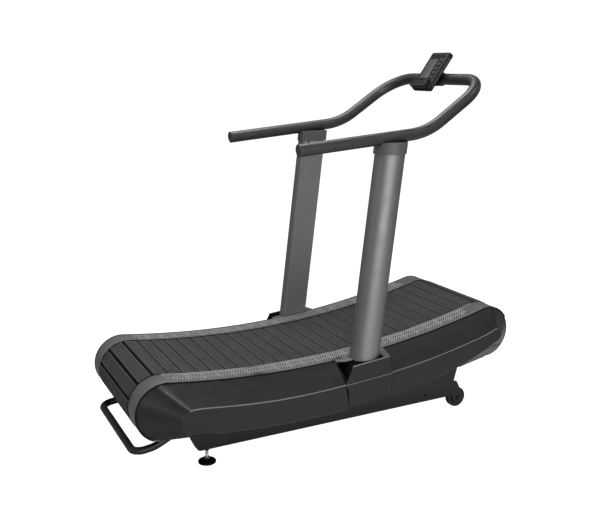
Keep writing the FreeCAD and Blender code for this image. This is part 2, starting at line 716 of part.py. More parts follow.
def main():
    os.makedirs("parts", exist_ok=True)

    save_pair("side_beam", side_beam())
    save("cross_members", *cross_members())
    save_pair("side_plate", side_plate())
    save("upright_feet", *both_sides(upright_foot()))
    save_pair("upright", upright())
    bar = pipe(bar_path(), BAR_R)
    core, sleeve = handlebar()
    save("handlebar_tube", core)
    save("handlebar_sleeve", sleeve)
    save("handlebar_caps", *bar_caps())
    save_pair("collar", collar(bar))
    save("collar_screws", *collar_screws())
    save("lift_handle", lift_handle())
    save("frame_bolts", *frame_bolts())

    save_pair("deck_rail", *deck_rail())
    save_pair("end_ring_rear", rear_ring())
    save_pair("end_ring_front", front_ring())
    rear = rear_skirt()
    save_pair("skirt_rear", rear)
    save_pair("skirt_front", front_skirt())
    save_pair("upright_cover", upright_cover(rear))

    places = slat_places()
    save("slat_carriers", *[placed(carrier(), p) for p in places])
    save("slat_treads", *[placed(tread(), p) for p in places])
    save("drive_belts", *drive_belts())
    for end, centre in (("rear", DRUM_REAR), ("front", DRUM_FRONT)):
        save(end + "_shaft", shaft(centre))
        save(end + "_pulleys", *pulleys(centre))
    save("bearing_blocks", *both_sides(bearing_block(DRUM_REAR), bearing_block(DRUM_FRONT)))
    save("roller_studs", *roller_studs())
    for k, x in enumerate(ROLLER_X):
        save("guide_rollers_" + str(k + 1), *guide_roller(x))
    save("speed_sensor", speed_sensor())

    pad, stem = levelling_foot()
    save_pair("foot_pad", pad)
    save_pair("foot_stem", stem)
    hub, tyre = transport_wheel()
    save_pair("wheel_hub", hub)
    save_pair("wheel_tyre", tyre)
    save("wheel_axles", *both_sides(wheel_axle()))

    save("console_housing", on_console(console_housing()))
    save("console_lens", on_console(console_lens()))
    save("console_clamp", console_clamp(bar))
    for k, z in enumerate(KEY_Z):
        save("console_key_" + str(k + 1), on_console(console_key(z)))


main()
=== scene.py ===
import json
import math

import bmesh
import bpy
import numpy as np
from mathutils import Matrix, Vector


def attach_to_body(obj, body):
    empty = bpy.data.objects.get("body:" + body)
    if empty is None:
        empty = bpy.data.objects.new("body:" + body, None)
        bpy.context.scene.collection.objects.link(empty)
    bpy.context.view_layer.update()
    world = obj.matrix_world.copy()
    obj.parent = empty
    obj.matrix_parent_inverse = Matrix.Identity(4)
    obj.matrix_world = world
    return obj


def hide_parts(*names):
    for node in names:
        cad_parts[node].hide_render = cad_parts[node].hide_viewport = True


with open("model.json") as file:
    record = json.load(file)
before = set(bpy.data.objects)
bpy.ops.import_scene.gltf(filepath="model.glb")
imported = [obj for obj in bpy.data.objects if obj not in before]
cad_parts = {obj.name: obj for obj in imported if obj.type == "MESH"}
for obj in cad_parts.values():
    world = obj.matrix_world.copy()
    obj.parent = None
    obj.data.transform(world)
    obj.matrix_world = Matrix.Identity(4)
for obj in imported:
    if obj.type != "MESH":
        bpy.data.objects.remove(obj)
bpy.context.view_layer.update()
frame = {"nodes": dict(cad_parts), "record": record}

# Metres unless a docstring says millimetres. +X towards the console, +Y to the
# runner's left, +Z up. The origin is the middle of the footprint on the floor.
MM = 0.001
ARC = Vector((-0.220, 0, 4.181))          # centre of the running surface's long arc
ARC_R = 3.850
ROLL_REAR, ROLL_FRONT = -768, 775         # the end rolls' centres along X, millimetres
RING_R = 120                              # outer radius of the end rings, millimetres
CONSOLE_LOW = Vector((0.577, 0, 1.437))   # lower edge of the console's face
CONSOLE_TILT = math.radians(36)
WELD = 2e-6                               # vertices of a CAD mesh this close are one
SIDES = (("left", 1), ("right", -1))


# ------------------------------------------------------------------ materials

class Nodes:
    """Short way to write a node tree."""

    def __init__(self, name):
        self.mat = bpy.data.materials.new(name)
        self.mat.use_nodes = True
        self.tree = self.mat.node_tree
        self.shader = self.tree.nodes["Principled BSDF"]
        coord = self.tree.nodes.new("ShaderNodeTexCoord")
        self.place = coord.outputs["Object"]

    def add(self, kind, links=None, **values):
        """New node; links are sockets or plain values by input name."""
        node = self.tree.nodes.new("ShaderNode" + kind)
        for key, value in values.items():
            setattr(node, key, value)
        for socket, value in (links or {}).items():
            target = node.inputs[socket]
            if isinstance(value, bpy.types.NodeSocket):
                self.tree.links.new(value, target)
            else:
                target.default_value = value
        return node

    def link(self, socket, target):
        """Join a socket to an input of the shader."""
        self.tree.links.new(socket, self.shader.inputs[target])

    def stretched(self, x, y, z, rotation=(0, 0, 0)):
        """The piece's own coordinates, scaled along each axis."""
        node = self.add("Mapping", {"Vector": self.place, "Scale": (x, y, z), "Rotation": rotation})
        return node.outputs["Vector"]

    def noise(self, scale, detail=3.0, where=None, rough=0.5):
        """Even noise from 0 to 1."""
        node = self.add("TexNoise", {"Vector": where or self.place, "Scale": scale, "Detail": detail,
                                     "Roughness": rough})
        return node.outputs["Fac"]

    def ramp(self, fac, stops):
        """Colour between stops of (place, colour)."""
        node = self.add("ValToRGB", {"Fac": fac})
        ramp = node.color_ramp
        while len(ramp.elements) < len(stops):
            ramp.elements.new(0.5)
        for element, (at, colour) in zip(ramp.elements, stops):
            element.position = at
            element.color = colour if len(colour) == 4 else (*colour, 1)
        return node.outputs["Color"]

    def span(self, fac, low, high, start=0.3, stop=0.7):
        """The value stretched from start..stop to low..high."""
        node = self.add("MapRange", {"Value": fac, "From Min": start, "From Max": stop,
                                     "To Min": low, "To Max": high})
        return node.outputs["Result"]

    def math(self, operation, a, b=0.0):
        """One sum of two sockets or numbers."""
        node = self.add("Math", {0: a, 1: b}, operation=operation)
        return node.outputs["Value"]

    def bump(self, height, strength, distance, normal=None):
        """Normal of a surface raised by the height, in metres."""
        links = {"Height": height, "Strength": strength, "Distance": distance}
        if normal:
            links["Normal"] = normal
        return self.add("Bump", links).outputs["Normal"]


def shade(colour, factor):
    """The colour made darker or lighter."""
    return tuple(min(1.0, c * factor) for c in colour)


def moulded(name, colour, rough, spread=0.12, mottle=9.0, grain=1400.0, grain_deep=0.00012,
            metallic=0.0, dust=0.0, specular=0.5):
    """Plastic, rubber or lacquer: drifting tint, faint dust, uneven gloss and a fine grain."""
    n = Nodes(name)
    drift = n.noise(mottle, 4.0)
    fine = n.noise(grain, 2.0)
    tint = n.ramp(drift, [(0.3, shade(colour, 1 - spread)), (0.7, shade(colour, 1 + spread))])
    if dust:
        cloud = n.noise(31.0, 6.0, rough=0.7)
        amount = n.span(cloud, 0.0, dust, 0.45, 0.75)
        mix = n.add("Mix", {"Factor": amount, 6: tint, 7: (0.20, 0.19, 0.18, 1)}, data_type="RGBA")
        tint = mix.outputs[2]
    n.link(tint, "Base Color")
    smear = n.noise(26.0, 5.0, n.stretched(1.0, 1.0, 3.0))
    n.link(n.span(smear, rough * 0.88, min(1.0, rough * 1.14)), "Roughness")
    n.link(n.bump(fine, 0.35, grain_deep), "Normal")
    n.shader.inputs["Metallic"].default_value = metallic
    n.shader.inputs["Specular IOR Level"].default_value = specular
    return n.mat


def metal(name, colour, rough, brushed=(1, 1, 60), spread=0.1):
    """Bare or plated metal with drawn marks along one axis."""
    n = Nodes(name)
    drift = n.noise(40.0, 4.0)
    n.link(n.ramp(drift, [(0.3, shade(colour, 1 - spread)), (0.7, shade(colour, 1 + spread))]), "Base Color")
    marks = n.noise(60.0, 3.0, n.stretched(*brushed))
    n.link(n.span(marks, rough * 0.75, rough * 1.3), "Roughness")
    n.link(n.bump(marks, 0.25, 0.00008), "Normal")
    n.shader.inputs["Metallic"].default_value = 1.0
    return n.mat


def lacquer(name, colour, rough):
    """Metallic paint: fine bright flakes under a satin clear coat."""
    n = Nodes(name)
    flake = n.noise(5200.0, 1.0)
    drift = n.noise(5.0, 3.0)
    tint = n.ramp(flake, [(0.35, shade(colour, 0.82)), (0.65, shade(colour, 1.2))])
    soft = n.ramp(drift, [(0.3, (0.93, 0.93, 0.94)), (0.7, (1.0, 1.0, 0.995))])
    mix = n.add("Mix", {"Factor": 1.0, 6: tint, 7: soft}, data_type="RGBA", blend_type="MULTIPLY")
    n.link(mix.outputs[2], "Base Color")
    n.link(n.span(n.noise(18.0, 4.0), rough * 0.9, rough * 1.12), "Roughness")
    n.link(n.bump(flake, 0.12, 0.00005), "Normal")
    n.shader.inputs["Metallic"].default_value = 0.8
    n.shader.inputs["Coat Weight"].default_value = 0.06
    n.shader.inputs["Coat Roughness"].default_value = 0.35
    return n.mat


def slat_rubber():
    """Running surface: cross-hatched rubber, rubbed paler on its ribs down the middle."""
    n = Nodes("slat_rubber")
    split = n.add("SeparateXYZ", {"Vector": n.place})
    cuts = n.math("SINE", n.math("MULTIPLY", split.outputs["Y"], 2 * math.pi / 0.0034))
    speckle = n.noise(900.0, 2.0)
    drift = n.noise(14.0, 4.0)
    base = n.ramp(drift, [(0.3, (0.088, 0.079, 0.080)), (0.7, (0.116, 0.105, 0.106))])
    grit = n.ramp(speckle, [(0.32, (0.62, 0.62, 0.62)), (0.68, (1.3, 1.29, 1.28))])
    mix = n.add("Mix", {"Factor": 1.0, 6: base, 7: grit}, data_type="RGBA", blend_type="MULTIPLY")
    worn = n.span(n.math("ABSOLUTE", split.outputs["Y"]), 1.0, 0.0, 0.05, 0.20)
    cloud = n.math("MULTIPLY", worn, n.span(n.noise(22.0, 5.0, rough=0.65), 0.0, 0.22, 0.4, 0.7))
    pale = n.add("Mix", {"Factor": cloud, 6: mix.outputs[2], 7: (0.145, 0.133, 0.131, 1)}, data_type="RGBA")
    n.link(pale.outputs[2], "Base Color")
    n.link(n.span(drift, 0.62, 0.78), "Roughness")
    rough = n.bump(speckle, 0.5, 0.0003)
    n.link(n.bump(cuts, 0.55, 0.0006, rough), "Normal")
    n.shader.inputs["Specular IOR Level"].default_value = 0.35
    return n.mat


def foam(name, colour):
    """Closed-cell grip foam: fine pores and a soft sheen."""
    n = Nodes(name)
    pores = n.add("TexVoronoi", {"Vector": n.place, "Scale": 900.0}).outputs["Distance"]
    drift = n.noise(12.0, 4.0)
    n.link(n.ramp(drift, [(0.3, shade(colour, 0.85)), (0.7, shade(colour, 1.15))]), "Base Color")
    n.link(n.span(n.noise(35.0, 4.0), 0.36, 0.46), "Roughness")
    n.link(n.bump(pores, 0.3, 0.00018, n.bump(n.noise(260.0, 3.0), 0.25, 0.0003)), "Normal")
    n.shader.inputs["Specular IOR Level"].default_value = 0.8
    return n.mat


def display(name):
    """Grey liquid crystal window behind a clear cover."""
    n = Nodes(name)
    split = n.add("SeparateXYZ", {"Vector": n.place})
    # The window's colour grows lighter towards its top: painted light.
    fall = n.span(split.outputs["Z"], 0.0, 1.0, 1.46, 1.58)
    base = n.ramp(fall, [(0.0, (0.062, 0.067, 0.074)), (1.0, (0.082, 0.088, 0.096))])
    weave = n.math("SINE", n.math("MULTIPLY", split.outputs["Y"], 2 * math.pi / 0.0011))
    lines = n.span(weave, 0.93, 1.05, -1.0, 1.0)
    mix = n.add("VectorMath", {0: base}, operation="SCALE")
    n.tree.links.new(lines, mix.inputs["Scale"])
    n.link(mix.outputs["Vector"], "Base Color")
    n.link(n.span(n.noise(60.0, 3.0), 0.30, 0.38), "Roughness")
    n.shader.inputs["Coat Weight"].default_value = 0.15
    n.shader.inputs["Coat Roughness"].default_value = 0.2
    return n.mat


MATS = {
    "frame_black": moulded("frame_black", (0.0095, 0.0088, 0.0095), 0.46, 0.2, grain=2200,
                           grain_deep=0.00015),
    "silver_paint": lacquer("silver_paint", (0.262, 0.256, 0.255), 0.50),
    "bar_steel": moulded("bar_steel", (0.02, 0.02, 0.022), 0.4),
    "grip_foam": foam("grip_foam", (0.017, 0.015, 0.016)),
    "cap_plastic": moulded("cap_plastic", (0.055, 0.052, 0.056), 0.45, grain=1800),
    "collar_plastic": moulded("collar_plastic", (0.100, 0.096, 0.099), 0.48, grain=1500, grain_deep=0.0003),
    "deck_plastic": moulded("deck_plastic", (0.132, 0.126, 0.131), 0.44, 0.06, grain=1500, dust=0.06),
    "deck_grip": moulded("deck_grip", (0.400, 0.382, 0.388), 0.5, 0.10, 40.0, grain=1200, dust=0.15),
    # Dark grip bed: painted shade of a sunk floor.
    "deck_recess": moulded("deck_recess", (0.009, 0.0085, 0.009), 0.75, 0.15, grain=1200),
    "skirt_plastic": moulded("skirt_plastic", (0.0110, 0.0100, 0.0120), 0.34, 0.10, grain=1700, dust=0.004,
                             specular=0.45),
    # Near black for painted shade: the gaps beside rails and rings, the walls behind the cover, the upright's
    # foot.
    "skirt_inner": moulded("skirt_inner", (0.004, 0.004, 0.004), 0.75, 0.1, specular=0.2),
    # Lighter tone of the skirts' rounded creases and crease beads: painted highlight.
    "skirt_edge": moulded("skirt_edge", (0.175, 0.168, 0.174), 0.34, 0.12, grain=1700),
    # Lighter tone of the beads on the skirts' low edges: painted highlight.
    "skirt_rim": moulded("skirt_rim", (0.060, 0.057, 0.060), 0.36, 0.12, grain=1700),
    # Lighter tone of the foot rails' and deck lips' rounded edges: painted highlight.
    "deck_edge": moulded("deck_edge", (0.270, 0.260, 0.265), 0.38, 0.10, grain=1500),
    "slat_rubber": slat_rubber(),
    # Darker tone of the treads' cuts and flanks and of the flaps between treads: painted shade.
    "slat_groove": moulded("slat_groove", (0.014, 0.013, 0.013), 0.8, 0.2, grain=900),
    "slat_metal": moulded("slat_metal", (0.012, 0.012, 0.013), 0.5, 0.2, metallic=0.3),
    "belt_rubber": moulded("belt_rubber", (0.02, 0.02, 0.02), 0.75, 0.2),
    "pulley_plastic": moulded("pulley_plastic", (0.03, 0.03, 0.032), 0.5, 0.2),
    "bright_steel": metal("bright_steel", (0.78, 0.78, 0.79), 0.28),
    "bolt_black": metal("bolt_black", (0.05, 0.05, 0.052), 0.42, (30, 30, 30)),
    "housing_iron": moulded("housing_iron", (0.05, 0.05, 0.055), 0.6, 0.2, grain=600, grain_deep=0.0004),
    "sensor_plastic": moulded("sensor_plastic", (0.015, 0.015, 0.015), 0.4),
    "foot_rubber": moulded("foot_rubber", (0.003, 0.003, 0.003), 0.7, 0.2, specular=0.12),
    "wheel_plastic": moulded("wheel_plastic", (0.026, 0.025, 0.026), 0.45, 0.2),
    "tyre_rubber": moulded("tyre_rubber", (0.012, 0.0118, 0.0115), 0.6, 0.2),
    "console_plastic": moulded("console_plastic", (0.0075, 0.0075, 0.0085), 0.42, 0.15, grain=1900,
                               specular=0.3),
    "console_gloss": moulded("console_gloss", (0.006, 0.006, 0.007), 0.3, 0.15, grain=2600,
                             grain_deep=0.00003, specular=0.3),
    # Lighter tone: trim on the console's sides, and a painted reflection of the floor on the shelf lip.
    "console_trim": moulded("console_trim", (0.050, 0.048, 0.053), 0.4, 0.12, grain=1900),
    "lens_clear": display("lens_clear"),
    "key_rubber": moulded("key_rubber", (0.060, 0.058, 0.062), 0.55, 0.2),
}

NODE_SLOT = {s["node"]: s["material_slot"] for s in frame["record"]["subparts"]}
NODE_BODY = {n: b for b, ns in frame["record"]["behaviour"]["bodies"].items() for n in ns}
for node, piece in frame["nodes"].items():
    piece.data.materials.clear()
    piece.data.materials.append(MATS[NODE_SLOT[node]])


# -------------------------------------------------------------- mesh helpers

def mesh_object(name, verts, faces, mat, smooth=True, sharp=30):
    """New object; edges sharper than the angle stay hard."""
    mesh = bpy.data.meshes.new(name)
    mesh.from_pydata([tuple(v) for v in verts], [], faces)
    mesh.validate()
    mesh.update()
    mesh.materials.append(MATS[mat])
    mesh.shade_smooth() if smooth else mesh.shade_flat()
    if smooth:
        mesh.set_sharp_from_angle(angle=math.radians(sharp))
    piece = bpy.data.objects.new(name, mesh)
    bpy.context.scene.collection.objects.link(piece)
    return piece


def attach(piece, body, slot, *replaced):
    """Say which body carries the piece and the CAD nodes it stands for; the slot is not used."""
    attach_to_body(piece, body)
    if replaced:
        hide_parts(*replaced)
    return piece


def round_edges(piece, width, segments=3, angle=35, edge=None):
    """Bevel every crease sharper than the angle, in a lighter tone if one is given, which is a painted edge
    highlight.
    """
    bevel = piece.modifiers.new("edges", "BEVEL")
    bevel.width = width
    bevel.segments = segments
    bevel.limit_method = "ANGLE"
    bevel.angle_limit = math.radians(angle)
    bevel.harden_normals = True
    if edge:
        piece.data.materials.append(MATS[edge])
        bevel.material = len(piece.data.materials) - 1


def softened(node, width, segments=2, edge=None):
    """A copy of a CAD node whose edges are rounded, standing for the node."""
    flat, crease = 0.4, 32                # degrees: faces merged below, edges rounded above
    bm = bmesh.new()
    bm.from_mesh(frame["nodes"][node].data)
    bmesh.ops.remove_doubles(bm, verts=bm.verts, dist=WELD)
    bmesh.ops.dissolve_limit(bm, angle_limit=math.radians(flat), verts=bm.verts, edges=bm.edges)
    mesh = bpy.data.meshes.new(node + "_body")
    bm.to_mesh(mesh)
    bm.free()
    mesh.materials.append(MATS[NODE_SLOT[node]])
    mesh.shade_smooth()
    piece = bpy.data.objects.new(node + "_body", mesh)
    bpy.context.scene.collection.objects.link(piece)
    round_edges(piece, width, segments, crease, edge)
    return attach(piece, NODE_BODY[node], NODE_SLOT[node], node)


def joined(parts):
    """One vertex and face list from several."""
    verts, faces = [], []
    for some_verts, some_faces in parts:
        base = len(verts)
        verts += list(some_verts)
        faces += [[base + k for k in face] for face in some_faces]
    return verts, faces


def loft(rings):
    """Skin through rings of equal length; the first and last are closed."""
    count = len(rings[0])
    verts = [v for ring in rings for v in ring]
    faces = []
    for r in range(len(rings) - 1):
        for k in range(count):
            j = (k + 1) % count
            faces.append([r * count + k, r * count + j, (r + 1) * count + j, (r + 1) * count + k])
    faces.append(list(range(count - 1, -1, -1)))
    faces.append([(len(rings) - 1) * count + k for k in range(count)])
    return verts, faces


def mirrored(parts):
    """The same skin on the right-hand side."""
    verts, faces = parts
    return [Vector((v[0], -v[1], v[2])) for v in verts], [face[::-1] for face in faces]


def unchanged(parts):
    """The skin as it is, for the left-hand side."""
    return parts


TURNS = (("left", unchanged), ("right", mirrored))


# ------------------------------------------------------------------ the belt

def islands(node):
    """Vertex arrays of the separate solids in a CAD node."""
    bm = bmesh.new()
    bm.from_mesh(frame["nodes"][node].data)
    bmesh.ops.remove_doubles(bm, verts=bm.verts, dist=WELD)
    seen, found = set(), []
    for start in bm.verts:
        if start.index in seen:
            continue
        stack, group = [start], []
        seen.add(start.index)
        while stack:
            v = stack.pop()
            group.append(tuple(v.co))
            for edge in v.link_edges:
                other = edge.other_vert(v)
                if other.index not in seen:
                    seen.add(other.index)
                    stack.append(other)
        found.append(np.array(group))
    bm.free()
    return found


SLAT_HALF = 0.216                         # half the width of the belt
BEVELLED = 26.5 * MM                      # half a tread's outer face is less, half its seat is more


def slat_frames():
    """Origin on the carrier's seat, direction along the belt and outward normal of every slat."""
    frames = []
    for co in islands("slat_treads"):
        side = co[np.abs(co[:, 1] - co[:, 1].max()) < 1e-5][:, [0, 2]]
        middle = side.mean(0)
        along = np.linalg.svd(side - middle)[2][0]
        out = np.array([-along[1], along[0]])
        crown = side[np.argmax((side - middle) @ out)] - middle
        if abs(crown @ along) > BEVELLED:       # the bevelled face is the outer one
            out = -out
        seat = middle - out * np.max(-(side - middle) @ out)
        frames.append((Vector((seat[0], 0, seat[1])), Vector((along[0], 0, along[1])),
                       Vector((out[0], 0, out[1]))))
    return frames


def ribbed_slat():
    """Cross-section of one tread from its seat in metres, and which of its edges are cuts."""
    half, top, deep, ribs = 26.4, 5.0, 2.2, 7
    pitch = 2 * half / ribs
    section = [(-half, 0.0), (-half, top - 1.2), (-half + 0.9, top)]
    cuts = {0}
    for k in range(1, ribs):
        middle = -half + k * pitch
        cuts |= {len(section), len(section) + 1, len(section) + 2}
        section += [(middle - 1.5, top), (middle - 1.1, top - deep), (middle + 1.1, top - deep),
                    (middle + 1.5, top)]
    section += [(half - 0.9, top), (half, top - 1.2), (half, 0.0)]
    cuts |= {len(section) - 2, len(section) - 1}
    return [(u * MM, w * MM) for u, w in section], cuts


def build_flaps(frames):
    """Thin dark flaps under the treads that close the gaps between them, dark as painted shade."""
    half, reach, thick = 0.205, 30.0 * MM, 0.8 * MM
    parts = []
    for origin, along, out in frames:
        ring = [origin + along * u - out * (0.2 * MM + w) for u, w in
                ((-reach, 0), (reach, 0), (reach, thick), (-reach, thick))]
        parts.append(loft([[v + Vector((0, y, 0)) for v in ring] for y in (-half, half)]))
    piece = mesh_object("slat_flaps", *joined(parts), "slat_groove", smooth=False)
    attach(piece, "frame", "slat_metal")


def build_treads():
    """All the ribbed treads as one piece, their cuts and flanks in a darker material that is painted shade.
    """
    section, cuts = ribbed_slat()
    count, chamfer, drop = len(section), 1.0 * MM, 0.9 * MM
    ends = ((-SLAT_HALF, drop), (-SLAT_HALF + chamfer, 0), (SLAT_HALF - chamfer, 0), (SLAT_HALF, drop))
    parts, dark = [], []
    frames = slat_frames()
    build_flaps(frames)
    for origin, along, out in frames:
        flip = along.cross(out).y > 0
        rings = []
        for y, low in ends:
            rings.append([origin + along * u + out * (w - low if w > 2 * MM else w)
                          + Vector((0, y, 0)) for u, w in section])
        if flip:
            rings.reverse()
        parts.append(loft(rings))
        dark += [k in cuts for k in range(count)] * 3 + [False, False]
    verts, faces = joined(parts)
    piece = mesh_object("slat_treads_ribbed", verts, faces, "slat_rubber", sharp=20)
    piece.data.materials.append(MATS["slat_groove"])
    piece.data.polygons.foreach_set("material_index", [int(d) for d in dark])
    return attach(piece, "frame", "slat_rubber", "slat_treads")


# ------------------------------------------------------------- deck tread pads

def deck_point(x, y, above=0.0):
    """Point on the long arc, or above it."""
    r = ARC_R - above
    return Vector((x, y, ARC.z - math.sqrt(r * r - (x - ARC.x) ** 2)))


def deck_dash(x, y, angle, length, width, tall):
    """One slanted raised bar on the deck rail, bevelled on top."""
    c, s = math.cos(angle), math.sin(angle)
    outline = ((1, -0.55), (1, 0.55), (0.86, 1), (-0.86, 1), (-1, 0.55), (-1, -0.55), (-0.86, -1), (0.86, -1))
    rings = []
    for rise, shrink in ((-0.0003, 0.0), (tall * 0.55, 0.0), (tall, 0.0009)):
        ring = []
        for a, b in outline:
            u = a * (length / 2 - shrink)
            v = b * (width / 2 - shrink)
            ring.append(deck_point(x + u * c - v * s, y + u * s + v * c, rise))
        rings.append(ring)
    return loft(rings)


GRIP_START, GRIP_STOP = -0.722, 0.690
GRIP_ROWS = (0.2442, 0.2602, 0.2762, 0.2922)
GRIP_MIDDLE = sum(GRIP_ROWS) / len(GRIP_ROWS)
GRIP_HALF, GRIP_END = 0.0330, 0.014       # half width of the field, length of its rounded ends
GRIP_PITCH, GRIP_LEAN = 0.0118, 34
BAR_LONG, BAR_WIDE, BAR_TALL = 0.0180, 0.0044, 0.0018


def grip_outline(x):
    """Half width of the grip field at x, rounded off at both ends."""
    room = min(x - GRIP_START, GRIP_STOP - x) / GRIP_END
    return GRIP_HALF * math.sqrt(max(0.0, 1 - (1 - min(room, 1.0)) ** 2))


def grip_bed():
    """Floor of the grip field: a thin sheet just over the rail, dark as painted shade of a sunk floor."""
    steps = 240
    rings = []
    for k in range(steps + 1):
        t = k / steps
        x = GRIP_START + 0.004 + (GRIP_STOP - GRIP_START - 0.012) * t
        half = max(grip_outline(x) - 0.003, 0.0008)
        top = [deck_point(x, GRIP_MIDDLE + half * side, 0.00012) for side in (-1, 1)]
        low = [deck_point(x, GRIP_MIDDLE + half * side, -0.0004) for side in (1, -1)]
        rings.append(top + low)
    return loft(rings)


def build_deck_grip():
    """Rows of slanted bars on a dark bed of painted shade on both foot rails."""
    parts = []
    for k, y in enumerate(GRIP_ROWS):
        lean = 1 if k % 2 else -1
        angle = math.radians(90 + GRIP_LEAN * lean)
        x = GRIP_START + 0.006 + (GRIP_PITCH / 2 if k % 2 else 0)
        while x < GRIP_STOP - 0.004:
            if abs(y - GRIP_MIDDLE) + 0.0060 < grip_outline(x):
                parts.append(deck_dash(x, y, angle, BAR_LONG, BAR_WIDE, BAR_TALL))
            x += GRIP_PITCH
    bed = grip_bed()
    for side, turn in TURNS:
        verts, faces = joined([turn(p) for p in parts])
        piece = mesh_object("deck_grip_" + side, verts, faces, "deck_grip", sharp=25)
        attach(piece, "frame", "deck_plastic")
        attach(mesh_object("deck_bed_" + side, *turn(bed), "deck_recess", sharp=25), "frame", "deck_plastic")


build_treads()
build_deck_grip()


# ------------------------------------------------------------------- skirts

def spline(points, count):
    """Natural cubic curve through the points, evenly timed, sampled count times."""
    p = np.array(points, float)
    n = len(p)
    a = np.zeros((n, n))
    b = np.zeros_like(p)
    a[0, 0] = a[-1, -1] = 1
    for k in range(1, n - 1):
        a[k, k - 1:k + 2] = 1, 4, 1
        b[k] = 6 * (p[k - 1] - 2 * p[k] + p[k + 1])
    m = np.linalg.solve(a, b)
    out = []
    for t in np.linspace(0, n - 1, count):
        k = min(int(t), n - 2)
        u = t - k
        out.append((m[k] * (1 - u) ** 3 + m[k + 1] * u ** 3) / 6
                   + (p[k] - m[k] / 6) * (1 - u) + (p[k + 1] - m[k + 1] / 6) * u)
    return np.array(out)


def around(centre, r, first, step, count):
    """Points on a circle, angles in degrees."""
    return [(centre[0] + r * math.cos(math.radians(first + k * step)),
             centre[1] + r * math.sin(math.radians(first + k * step))) for k in range(count)]


def deck_edge(x):
    """Upper edge of a skirt, 5 mm under the deck; millimetres."""
    return (x, deck_point(x * MM, 0).z / MM - 5)


def roll_height(x):
    """Height of an end roll's centre, millimetres."""
    return (ARC.z - math.sqrt((ARC_R + RING_R * MM) ** 2 - (x * MM - ARC.x) ** 2)) / MM


# Along Y in millimetres: a skirt's edge at the deck, its outer face, the beam's outer side.
SKIRT_IN, SKIRT_OUT, BEAM_OUT = 320.0, 416.5, 331.0
CREASE_STEPS = 140                        # points along each of a skirt's outlines
REAR_BEAD, FRONT_BEAD, LOW_BEAD = 76, 74, 112     # how many of them carry a bead


def beam_side(x):
    """How far out the skirt's underside has to stop, beside the frame beam."""
    return BEAM_OUT if -712 < x < 640 else SKIRT_IN


def skirt_mesh(deck, crease, low, base):
    """Panel from the deck edge out to the crease, down, and back under; millimetre points in x, z."""
    count, strips = CREASE_STEPS, 7
    top, edge, lip, under = (spline(line, count) for line in (deck, crease, low, base))
    rings = []
    for a, c, l, b in zip(top, edge, lip, under):
        ring = []
        for k in range(strips + 1):
            t = k / strips
            dish = -2.2 * math.sin(math.pi * t)            # the upper panel is very slightly hollow
            x, z = a + (c - a) * t
            ring.append(Vector((x, SKIRT_IN + (SKIRT_OUT - SKIRT_IN) * t + dish * 0.5, z + dish * 0.4)))
        for k in range(1, 5):
            x, z = c + (l - c) * k / 4
            ring.append(Vector((x, SKIRT_OUT, z)))
        stop = (SKIRT_OUT - beam_side(b[0])) / (SKIRT_OUT - SKIRT_IN)
        for k in range(1, 4):
            x, z = l + (b - l) * stop * k / 3
            ring.append(Vector((x, SKIRT_OUT + (SKIRT_IN - SKIRT_OUT) * stop * k / 3, z)))
        rings.append([v * MM for v in ring])
    size = len(rings[0])
    faces = [[r * size + k, r * size + k + 1, (r + 1) * size + k + 1, (r + 1) * size + k]
             for r in range(count - 1) for k in range(size - 1)]
    return [v for ring in rings for v in ring], faces


def panel_piece(name, parts, replaced):
    """An open sheet given thickness inwards and rounded creases."""
    piece = mesh_object(name, *parts, "skirt_plastic")
    piece.data.shade_smooth()
    weld = piece.modifiers.new("weld", "WELD")
    weld.merge_threshold = 0.00015
    solid = piece.modifiers.new("thickness", "SOLIDIFY")
    solid.thickness = 0.0035
    solid.offset = -1
    # The rounded creases take the lighter crease tone: painted highlight.
    round_edges(piece, 0.0030, 3, 28, "skirt_edge")
    return attach(piece, "frame", "skirt_plastic", replaced)


# Outlines of the skirts as (x, z) in millimetres, from the upright to the roll.
REAR_CREASE = [(-32, 259), (-110, 254), (-220, 251), (-330, 252), (-440, 258), (-550, 268), (-640, 278)]
REAR_CREASE += around((-688, 231), 49, 95, 23, 8)
FRONT_CREASE = [(194, 276), (290, 287), (390, 302), (490, 320), (590, 341), (682, 363)]
FRONT_CREASE += around((748, 355), 29, 95, -26, 7)
REAR_LOW = [(-14, 150), (-200, 146), (-330, 148), (-450, 155), (-594, 168), REAR_CREASE[-1]]
FRONT_LOW = [(194, 176), (330, 195), (460, 218), (580, 252), (688, 297), FRONT_CREASE[-1]]


def rear_skirt():
    """Rear skirt of the left side."""
    deck = [deck_edge(x) for x in (-27, -130, -250, -370, -490, -600, -690)]
    deck += around((ROLL_REAR, roll_height(ROLL_REAR)), 113, 95, 23, 8)
    base = [(-14, 140), (-200, 132), (-400, 128), (-600, 126), (-720, 130), deck[-1]]
    return skirt_mesh(deck, REAR_CREASE, REAR_LOW, base)


def front_skirt():
    """Front skirt of the left side; it runs the other way along X, so its faces are turned."""
    deck = [deck_edge(x) for x in (194, 300, 410, 520, 620, 700)]
    deck += around((ROLL_FRONT, roll_height(ROLL_FRONT)), 116, 88, -21, 7)
    base = [(194, 158), (330, 170), (460, 188), (600, 214), (740, 245), deck[-1]]
    verts, faces = skirt_mesh(deck, FRONT_CREASE, FRONT_LOW, base)
    return verts, [face[::-1] for face in faces]


def crease_bead(line, y, half=2.2, proud=0.6):
    """Slim bead along a crease that carries a painted highlight line, (x, z) points in millimetres."""
    section = ((proud, 0.0), (proud / 2, -half), (-1.6, -half * 0.6), (-1.9, half), (-0.2, half * 0.8))
    rings = []
    for x, z in line:
        rings.append([Vector((x, y + out, z + up)) * MM for out, up in section])
    return loft(rings)


def block_prism(outer, inner, y_out, y_in):
    """Closed block between two outlines of equal length, (x, z) in millimetres."""
    rings = [[Vector((x, y, z)) * MM for x, z in line] for line, y in ((outer, y_out), (inner, y_in))]
    return loft(rings)


def slanted_plate(points, thick):
    """Flat plate from (x, y, z) corners, thick across the treadmill."""
    rings = [[Vector((x, y - back, z)) * MM for x, y, z in points] for back in (0, thick)]
    return loft(rings)


